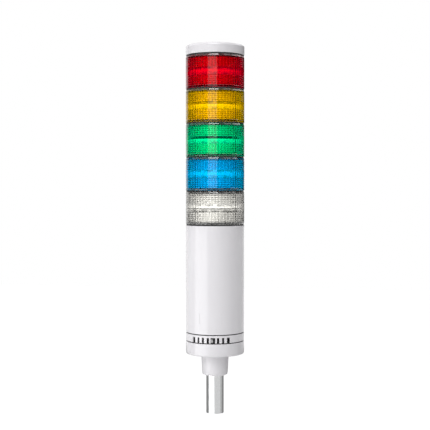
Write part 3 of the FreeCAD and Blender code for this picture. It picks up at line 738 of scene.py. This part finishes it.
LEVER_ROUND = 0.6 * MM
BEVEL_SEGMENTS = 3
BLACK_PLASTIC = (0.012, 0.012, 0.013)
BLACK_SHADE = (0.018, 0.018, 0.019)
PLAIN_GLOSS = (0.35, 0.5)
DARK_SPECULAR = 0.2
LEVER_GREY = (0.52, 0.52, 0.52)
LEVER_SHADE = (0.46, 0.46, 0.46)
LEVER_GLOSS = (0.3, 0.42)


def dressed_copy(node, material, body, slot):
    """A merged copy of a CAD piece, smooth on its curved walls, where the solid has the true form."""
    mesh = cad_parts[node].data.copy()
    thing = new_object(node + "_finish", mesh)
    shape = bmesh.new()
    shape.from_mesh(mesh)
    bmesh.ops.remove_doubles(shape, verts=shape.verts, dist=WELD)
    shape.to_mesh(mesh)
    shape.free()
    mesh.materials.clear()
    mesh.materials.append(material)
    for polygon in mesh.polygons:
        polygon.material_index = 0
    crisp(mesh)
    place(thing, body, slot, node)
    return thing


def bevelled(thing, width):
    """Rounds the sharp edges of a copy."""
    modifier = thing.modifiers.new("edges", "BEVEL")
    modifier.width = width
    modifier.segments = BEVEL_SEGMENTS
    modifier.limit_method = "ANGLE"
    modifier.angle_limit = SHARP
    crisp(applied(thing))


black_abs = moulded_plastic("black_abs", BLACK_PLASTIC, BLACK_SHADE, PLAIN_GLOSS,
                            Specular_IOR_Level=DARK_SPECULAR)
grey_abs = moulded_plastic("grey_abs", LEVER_GREY, LEVER_SHADE, LEVER_GLOSS)
dressed_copy("volume_shutter", black_abs, "shutter", "black_plastic")
bevelled(dressed_copy("volume_lever", grey_abs, "shutter", "grey_plastic"), LEVER_ROUND)


# Housing and its seal
# The real housing is an ABS tube with a lip that the tiers stand on, and three screw bosses on webs
# inside. Two shallow lines and an index mark are moulded into its front. A rubber ring seals its foot.

HOUSING_WALL = 2.5 * MM
LIP_R = 22.5 * MM
LIP_T = 2.2 * MM
MARK_W = 0.5 * MM
MARK_H = 10.8 * MM
MARK_DEPTH = 0.3 * MM
MARK_ANGLE = 22.1
MARK_RISE = 10.6 * MM
INDEX_W = 3.4 * MM
INDEX_H = 0.9 * MM
INDEX_RISE = 4.0 * MM
WEB_T = 2.0 * MM
BOSS_HOLE_R = 1.3 * MM
BOSS_H = 12.0 * MM
BOSS_RISE = 2.0 * MM
RUBBER = (0.016, 0.017, 0.018)
RUBBER_BLOOM = (0.032, 0.033, 0.034)
RUBBER_GLOSS = (0.45, 0.7)
RUBBER_GRAIN = 0.01 * MM

housing_low, housing_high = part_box("body_housing")
housing_r = radius_of("body_housing")
inner_r = housing_r - HOUSING_WALL
housing = turned("body_housing_finish", rounded([
    (inner_r, housing_low.z, 0),
    (housing_r, housing_low.z, EDGE_ROUND),
    (housing_r, housing_high.z, EDGE_ROUND),
    (LIP_R, housing_high.z, EDGE_ROUND),
    (LIP_R, housing_high.z - LIP_T, 0),
    (inner_r, housing_high.z - LIP_T, 0),
]), white_abs)
boss_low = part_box("buzzer_holder")[0].z + BOSS_RISE
boss = peg(POST_R, POST_CIRCLE_R, boss_low, boss_low + BOSS_H)
pattern(housing, JOINED, boss, POSTS, POST_ANGLE)
web = block(WEB_T, -inner_r - HOUSING_WALL / 2, -POST_CIRCLE_R, boss_low, boss_low + BOSS_H)
pattern(housing, JOINED, web, POSTS, POST_ANGLE)
hole = peg(BOSS_HOLE_R, POST_CIRCLE_R, boss_low - OVERCUT, boss_low + BOSS_H + OVERCUT)
pattern(housing, CUT, hole, POSTS, POST_ANGLE)
mark_z = housing_low.z + MARK_RISE
mark = block(MARK_W, -housing_r - OVERCUT, -housing_r + MARK_DEPTH, mark_z, mark_z + MARK_H)
pattern(housing, CUT, mark, 2, -MARK_ANGLE, 2 * MARK_ANGLE)
index_z = housing_low.z + INDEX_RISE
mark = block(INDEX_W, -housing_r - OVERCUT, -housing_r + MARK_DEPTH, index_z, index_z + INDEX_H)
pattern(housing, CUT, mark, 1)
place(plain_mesh(housing), "tower", "white_shell", "body_housing")


def seal_rubber():
    """Dull black rubber with a pale bloom."""
    material, tree, surface = new_material("seal_rubber", RUBBER, Specular_IOR_Level=DARK_SPECULAR)
    skin = placed_group(tree, MOULDED_SKIN, Grain=3400.0, Clouds=60.0)
    link(tree, mixed_colour(tree, skin["Clouds"], RUBBER, RUBBER_BLOOM), surface.inputs["Base Color"])
    link(tree, between(tree, skin["Grain"], *RUBBER_GLOSS), surface.inputs["Roughness"])
    bump(tree, skin["Height"], RUBBER_GRAIN, surface)
    return material


black_rubber = seal_rubber()
seal_r = radius_of("body_seal")
seal = turned("seal_ring", rounded([
    (COLLAR_R + PLUG_GAP, seal_low.z, 0),
    (seal_r, seal_low.z, EDGE_ROUND),
    (seal_r, seal_high.z, EDGE_ROUND),
    (COLLAR_R + PLUG_GAP, seal_high.z, 0),
]), black_rubber)
place(plain_mesh(seal), "tower", "black_rubber", "body_seal")


# Gaskets
# The real tiers stand on rubber rings. A ring shows as a dark line between two lenses, and its lip,
# which centres the lens, as a dark shade behind the lens flange.

TIERS = ["clear", "blue", "green", "amber", "red"]
GASKET_T = 1.4 * MM
GASKET_SEAT_R = 25.1 * MM
GASKET_LIP_R = 26.9 * MM
GASKET_LIP_T = 1.4 * MM
GASKET_ROUND = 0.3 * MM

lip_inner = GASKET_LIP_R - GASKET_LIP_T
ring_tops = [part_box("lens_" + TIERS[0])[0].z]
ring_tops += [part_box("lens_" + tier)[1].z + GASKET_T for tier in TIERS]
for number, top in enumerate(ring_tops, start=1):
    node = "gasket_" + str(number)
    gasket_r = radius_of(node)
    lip_low, lip_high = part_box(node)[0].z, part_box(node)[1].z
    low = top - GASKET_T
    corners = [(GASKET_SEAT_R, low, 0), (lip_inner, low, 0)]
    if lip_low < low - WELD:
        corners += [(lip_inner, lip_low, 0), (GASKET_LIP_R, lip_low, GASKET_ROUND), (GASKET_LIP_R, low, 0)]
    corners += [(gasket_r, low, GASKET_ROUND), (gasket_r, top, GASKET_ROUND)]
    if lip_high > top + WELD:
        corners += [(GASKET_LIP_R, top, 0), (GASKET_LIP_R, lip_high, GASKET_ROUND), (lip_inner, lip_high, 0)]
    corners += [(lip_inner, top, 0), (GASKET_SEAT_R, top, 0)]
    gasket = turned(node + "_ring", rounded(corners), black_rubber)
    place(plain_mesh(gasket), "tower", "black_rubber", node)


# Lenses
# The real lenses are tinted polycarbonate rings, moulded in one shot, with fine grooves round the outside
# above and below a smooth band, upright flutes inside, and a stepped, bevelled flange at each end.

LENS_WALL = 2.3 * MM
FLANGE_H = 2.2 * MM
UPPER_BEVEL = (0.52 * MM, 1.6 * MM)
LOWER_BEVEL = (0.2 * MM, 0.3 * MM)
BEVEL_SHARES = (0.0, 0.12, 0.88, 1.0)
STEP_H = 0.5 * MM
STEP_DEPTH = 0.5 * MM
BAND_LOW = 13.0 * MM
BAND_HIGH = 20.4 * MM
GROOVE_PITCH = 2.1 * MM
GROOVE_W = 0.75 * MM
GROOVE_FLOOR = 0.22 * MM
GROOVE_DEPTH = 0.3 * MM
FLUTES = 54
FLUTE_DEPTH = 0.35 * MM
LENS_SEGMENTS = FLUTES * 6
LENS_GLOSS = (0.03, 0.08)
LENS_RIPPLE = 0.02 * MM

# Rounding of a flange's lower edge: how far in and how high each of its points lies
FLANGE_FOOT = ((0.35 * MM, 0.0), (0.10 * MM, 0.12 * MM), (0.02 * MM, 0.35 * MM))

# A point that lies deeper than this many groove depths isn't on the outer wall
GROOVE_REACH = 1.2

# How much of the tint is left in the painted shade lines, how much of that darkening a wall seen on edge
# has, how sharp the painted shade lines of the flutes are, and how soft the edges of a height zone
LINE_SHADE = 0.35
EDGE_LOSS = 0.75
FLUTE_SHARPNESS = 3.0
ZONE_EDGE = 0.5 * MM

# Tint of each moulding
TINTS = {
    "clear": (0.93, 0.92, 0.89),
    "blue": (0.0, 0.64, 0.97),
    "green": (0.0, 0.88, 0.47),
    "amber": (0.96, 0.68, 0.0),
    "red": (0.82, 0.0, 0.035),
}


def groove_points(radius, low, high):
    """One grooved zone from its lower to its upper end: flat ridges with steep narrow grooves between."""
    count = max(1, round((high - low) / GROOVE_PITCH))
    pitch = (high - low) / count
    points = []
    for i in range(count):
        middle = low + (i + 0.5) * pitch
        points += [
            (radius, middle - GROOVE_W / 2),
            (radius - GROOVE_DEPTH, middle - GROOVE_FLOOR / 2),
            (radius - GROOVE_DEPTH, middle + GROOVE_FLOOR / 2),
            (radius, middle + GROOVE_W / 2),
        ]
    return points


def flange_points(radius, low, high, bevel):
    """A flange with a rounded lower edge and a flat bevel, of some width and height, on its upper one."""
    width, height = bevel
    points = [(radius - inset, low + rise) for inset, rise in FLANGE_FOOT]
    return points + [(radius - width * share, high - height * (1 - share)) for share in BEVEL_SHARES]


def lens_points(radius, low, high):
    """The outer wall of a lens, then the two points of its fluted inner wall."""
    inner_r = radius - LENS_WALL
    step_r = radius - STEP_DEPTH
    low_step = low + FLANGE_H + STEP_H
    high_step = high - FLANGE_H - STEP_H
    points = flange_points(radius, low, low + FLANGE_H, LOWER_BEVEL)
    points += [(step_r, low + FLANGE_H), (step_r, low_step), (radius, low_step)]
    points += groove_points(radius, low_step, low + BAND_LOW)
    points += [(radius, low + BAND_LOW), (radius, low + BAND_HIGH)]
    points += groove_points(radius, low + BAND_HIGH, high_step)
    points += [(radius, high_step), (step_r, high_step), (step_r, high - FLANGE_H)]
    points += flange_points(radius, high - FLANGE_H, high, UPPER_BEVEL)
    weights = [0.0] * len(points) + [1.0, 1.0]
    return points + [(inner_r, high), (inner_r, low)], weights


def wall_lines_group(radius):
    """Where a lens gets painted shade lines: 1 in the valleys of the outer grooves and of the inner flutes,
    0 on their crests, by the radius.
    """
    group, given, result = new_group("Wall Lines", {
        "Outer Radius": radius,
        "Groove Depth": GROOVE_DEPTH,
        "Inner Radius": radius - LENS_WALL,
        "Flute Depth": FLUTE_DEPTH,
        "Sharpness": FLUTE_SHARPNESS,
    }, ["Grooves", "Flutes"])
    parts = add(group, "ShaderNodeSeparateXYZ")
    link(group, add(group, "ShaderNodeTexCoord").outputs["Object"], parts.inputs[0])
    squares = [maths(group, "MULTIPLY", parts.outputs[axis], parts.outputs[axis]) for axis in "XY"]
    from_axis = maths(group, "SQRT", maths(group, "ADD", *squares))
    from_outside = maths(group, "SUBTRACT", given["Outer Radius"], from_axis)
    grooves = maths(group, "DIVIDE", from_outside, given["Groove Depth"])
    outer_wall = maths(group, "LESS_THAN", grooves, GROOVE_REACH)
    link(group, maths(group, "MULTIPLY", grooves, outer_wall), result["Grooves"])
    from_inside = maths(group, "SUBTRACT", given["Inner Radius"], from_axis)
    flutes = maths(group, "DIVIDE", from_inside, given["Flute Depth"])
    flutes = maths(group, "MAXIMUM", maths(group, "MINIMUM", flutes, 1.0), 0.0)
    link(group, maths(group, "POWER", flutes, given["Sharpness"]), result["Flutes"])
    return group


PAINTED_SHADE_LINES = wall_lines_group(radius_of("lens_" + TIERS[0]))


def zone_group():
    """1 between two heights and 0 outside them, with soft edges."""
    group, given, result = new_group("Height Zone", {"Low": 0.0, "High": 0.0, "Edge": ZONE_EDGE}, ["Inside"])
    parts = add(group, "ShaderNodeSeparateXYZ")
    link(group, add(group, "ShaderNodeTexCoord").outputs["Object"], parts.inputs[0])
    height = parts.outputs["Z"]
    above = maths(group, "DIVIDE", maths(group, "SUBTRACT", height, given["Low"]), given["Edge"])
    below = maths(group, "DIVIDE", maths(group, "SUBTRACT", given["High"], height), given["Edge"])
    inside = maths(group, "MINIMUM", maths(group, "MINIMUM", above, below), 1.0)
    link(group, maths(group, "MAXIMUM", inside, 0.0), result["Inside"])
    return group


HEIGHT_ZONE = zone_group()


def tinted_polycarbonate(name, tint, foot):
    """Clear tinted plastic that lets the lamps through to what is inside. Painted shade darkens the valleys
    of its grooves and flutes, though not of the flutes behind the smooth band, and its tint is deeper
    where it is seen along the wall."""
    material, tree, surface = new_material(name, tint, Transmission_Weight=1.0, IOR=1.53)
    skin = placed_group(tree, MOULDED_SKIN, Grain=1200.0, Clouds=70.0)
    lines = placed_group(tree, PAINTED_SHADE_LINES)
    band = placed_group(tree, HEIGHT_ZONE, Low=foot + BAND_LOW, High=foot + BAND_HIGH)["Inside"]
    flutes = maths(tree, "MULTIPLY", lines["Flutes"], between(tree, band, 1.0, 0.0))
    facing = add(tree, "ShaderNodeLayerWeight").outputs["Facing"]
    along = maths(tree, "MULTIPLY", facing, EDGE_LOSS)
    # Painted shade in the groove and flute valleys, and a deeper tint where the wall is seen on edge
    shade_and_depth = maths(tree, "MAXIMUM", maths(tree, "MAXIMUM", lines["Grooves"], flutes), along)
    dark = tuple(value * LINE_SHADE for value in tint)
    link(tree, mixed_colour(tree, shade_and_depth, tint, dark), surface.inputs["Base Color"])
    link(tree, between(tree, skin["Clouds"], *LENS_GLOSS), surface.inputs["Roughness"])
    bump(tree, skin["Clouds"], LENS_RIPPLE, surface, strength=0.5)
    passed = add(tree, "ShaderNodeBsdfTransparent")
    passed.inputs["Color"].default_value = (*(math.sqrt(value) for value in tint), 1.0)
    either = add(tree, "ShaderNodeMixShader")
    link(tree, add(tree, "ShaderNodeLightPath").outputs["Is Shadow Ray"], either.inputs["Fac"])
    link(tree, surface.outputs[0], either.inputs[1])
    link(tree, passed.outputs[0], either.inputs[2])
    link(tree, either.outputs[0], tree.nodes["Material Output"].inputs["Surface"])
    return material


for tier in TIERS:
    node = "lens_" + tier
    low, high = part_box(node)[0].z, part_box(node)[1].z
    points, weights = lens_points(radius_of(node), low, high)
    material = tinted_polycarbonate(tier + "_polycarbonate", TINTS[tier], low)
    lens = turned(node + "_moulding", points, material, LENS_SEGMENTS, weights, FLUTES, FLUTE_DEPTH)
    place(plain_mesh(lens), "tower", node, node)


# Reflectors and LED boards
# In each real tier two bright moulded reflectors, each a disc with a drum and a ribbed skirt, throw out
# the light of the LEDs. These are soldered to both faces of a round board that lies between the skirts.

REFLECTOR = (0.93, 0.93, 0.92)
REFLECTOR_SHADE = (0.90, 0.90, 0.885)
REFLECTOR_GLOSS = (0.12, 0.22)
LED_WHITE = 0.5
LED_SHADE = 0.9

# Where each tier has a painted bright band with a faint painted glow, and where a painted shade line
# shows through its lens, in mm over the lens's foot. The painted shade line isn't always at the board.
PAINTED_LIGHT_ZONES = {
    "clear": (14.0, 21.0),
    "blue": (12.4, 20.8),
    "green": (12.2, 20.6),
    "amber": (11.8, 20.0),
    "red": (12.6, 20.4),
}
PAINTED_SHADE_ZONES = {
    "clear": (15.2, 16.6),
    "blue": (10.8, 11.6),
    "green": (17.0, 20.2),
    "amber": (17.9, 19.0),
    "red": (20.6, 21.2),
}
# Colour share outside the painted bright band and in the painted shade line; strength of the faint painted
# glow
PAINTED_DIM_SHARE = 0.95
PAINTED_SHADE_SHARE = 0.03
PAINTED_GLOW = 0.28
LED_ROUND = 0.4 * MM


def banded_plastic(name, colour, shade, tier, **sockets):
    """Bright plastic with painted light and glow in a tier's bright zone and painted shade in its dark zone.
    """
    material, tree, surface = new_material(name, colour, Emission_Strength=PAINTED_GLOW, **sockets)
    skin = placed_group(tree, MOULDED_SKIN)
    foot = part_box("lens_" + tier)[0].z
    zones = []
    for low, high in (PAINTED_LIGHT_ZONES[tier], PAINTED_SHADE_ZONES[tier]):
        zone = placed_group(tree, HEIGHT_ZONE, Low=foot + low * MM, High=foot + high * MM)
        zones.append(zone["Inside"])
    bright, dark = zones
    # Painted shade: colour and glow fall to a small share in the dark zone; painted light: colour a little
    # brighter in the bright zone
    lit = between(tree, dark, 1.0, PAINTED_SHADE_SHARE)
    painted_light_colour = add(tree, "ShaderNodeVectorMath", operation="SCALE")
    link(tree, mixed_colour(tree, skin["Clouds"], colour, shade), painted_light_colour.inputs[0])
    link(tree, maths(tree, "MULTIPLY", between(tree, bright, PAINTED_DIM_SHARE, 1.0), lit), painted_light_colour.inputs["Scale"])
    link(tree, painted_light_colour.outputs[0], surface.inputs["Base Color"])
    # A faint painted glow in the bright zone, though the plastic is no lamp
    glow = add(tree, "ShaderNodeVectorMath", operation="SCALE")
    glow.inputs[0].default_value = colour
    link(tree, maths(tree, "MULTIPLY", bright, lit), glow.inputs["Scale"])
    link(tree, glow.outputs[0], surface.inputs["Emission Color"])
    link(tree, between(tree, skin["Grain"], *REFLECTOR_GLOSS), surface.inputs["Roughness"])
    bump(tree, skin["Height"], GRAIN_HEIGHT, surface)
    return material


# Reflectors, board and LED resin of each tier all carry its painted light, painted glow and painted shade
for tier in TIERS:
    reflecting = banded_plastic("reflector_" + tier, REFLECTOR, REFLECTOR_SHADE, tier, Metallic=0.2,
                                Coat_Weight=1.0, Coat_IOR=2.2, Coat_Roughness=0.12)
    for part in ("upper_reflector_", "lower_reflector_"):
        dressed_copy(part + tier, reflecting, "tower", "reflector_white")
    board = banded_plastic("board_" + tier, REFLECTOR, REFLECTOR_SHADE, tier)
    dressed_copy("led_board_" + tier, board, "tower", "board_dark")
    pale = tuple(LED_WHITE + (1 - LED_WHITE) * value for value in TINTS[tier])
    resin = banded_plastic("led_resin_" + tier, pale, tuple(LED_SHADE * value for value in pale), tier)
    bevelled(dressed_copy("leds_" + tier, resin, "tower", "led_" + tier), LED_ROUND)


# Cap
# The real cap is a shallow ABS moulding with a rounded rim and a slightly crowned top. One screw in its
# centre draws it down on the clamp plate.

CAP_WALL = 2.2 * MM
CAP_ROUND = 2.0 * MM
CAP_LIP_ROUND = 0.5 * MM
CAP_CROWN = 0.5 * MM
CAP_FLAT_R = 15.0 * MM
CAP_BOSS_R = 5.4 * MM
CAP_SCREW_HOLE_R = 2.15 * MM
CAP_SINK_R = 3.9 * MM
CAP_SINK = 3.0 * MM

cap_low, cap_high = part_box("top_cap")
cap_r = radius_of("top_cap")
rim_z = cap_high.z - CAP_CROWN
roof_z = rim_z - CAP_WALL
clamp_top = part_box("clamp_plate")[1].z
cap = turned("top_cap_finish", rounded([
    (cap_r - CAP_WALL, cap_low.z, 0),
    (cap_r, cap_low.z, CAP_LIP_ROUND),
    (cap_r, rim_z, CAP_ROUND),
    (CAP_FLAT_R, cap_high.z, 0),
    (CAP_SINK_R, cap_high.z, EDGE_ROUND),
    (CAP_SINK_R, cap_high.z - CAP_SINK, 0),
    (CAP_SCREW_HOLE_R, cap_high.z - CAP_SINK, 0),
    (CAP_SCREW_HOLE_R, clamp_top, 0),
    (CAP_BOSS_R, clamp_top, 0),
    (CAP_BOSS_R, roof_z, 0),
    (cap_r - CAP_WALL, roof_z, 0),
]), white_abs)
place(plain_mesh(cap), "tower", "white_shell", "top_cap")


# Steel fasteners, pins and what is inside
# Screws, nuts, washer, tie rods and clamp plate are zinc-plated steel; the pins that carry current
# from tier to tier are brass. Boards, buzzer and terminals are standard bought parts.

ZINC = (0.60, 0.61, 0.62)
ZINC_SHADE = (0.52, 0.54, 0.56)
BRASS = (0.80, 0.60, 0.26)
BRASS_SHADE = (0.70, 0.50, 0.20)
BOARD_GREEN = (0.015, 0.12, 0.045)
BOARD_GREEN_SHADE = (0.02, 0.15, 0.06)
TERMINAL_GREEN = (0.05, 0.30, 0.11)
TERMINAL_SHADE = (0.045, 0.26, 0.10)
SLEEVE = (0.02, 0.03, 0.09)
SLEEVE_SHADE = (0.03, 0.04, 0.11)
ZINC_GLOSS = (0.22, 0.38)
BRASS_GLOSS = (0.18, 0.3)
BOARD_GLOSS = (0.25, 0.4)
SLEEVE_GLOSS = (0.2, 0.3)

zinc = moulded_plastic("zinc_plated_steel", ZINC, ZINC_SHADE, ZINC_GLOSS, Metallic=1.0)
brass = moulded_plastic("bright_brass", BRASS, BRASS_SHADE, BRASS_GLOSS, Metallic=1.0)
green_board = moulded_plastic("green_solder_mask", BOARD_GREEN, BOARD_GREEN_SHADE, BOARD_GLOSS)
green_terminal = moulded_plastic("green_terminal", TERMINAL_GREEN, TERMINAL_SHADE, PLAIN_GLOSS)
can_sleeve = moulded_plastic("can_sleeve", SLEEVE, SLEEVE_SHADE, SLEEVE_GLOSS)

for node in ("pole_washer", "pole_lock_nut", "base_screws", "board_screws", "tie_rods", "tie_rod_nuts",
             "cap_screw", "terminal_screws", "clamp_plate"):
    dressed_copy(node, zinc, "tower", "zinc_steel")
for node in ("buzzer", "buzzer_holder", "seat_plate", "driver_chips"):
    dressed_copy(node, black_abs, "tower", "black_plastic")
dressed_copy("bus_pins", brass, "tower", "pin_brass")
dressed_copy("main_board", green_board, "tower", "board_green")
dressed_copy("terminal_block", green_terminal, "tower", "terminal_green")
dressed_copy("board_capacitors", can_sleeve, "tower", "capacitor_can")

for helper in helpers:
    bpy.data.objects.remove(helper)
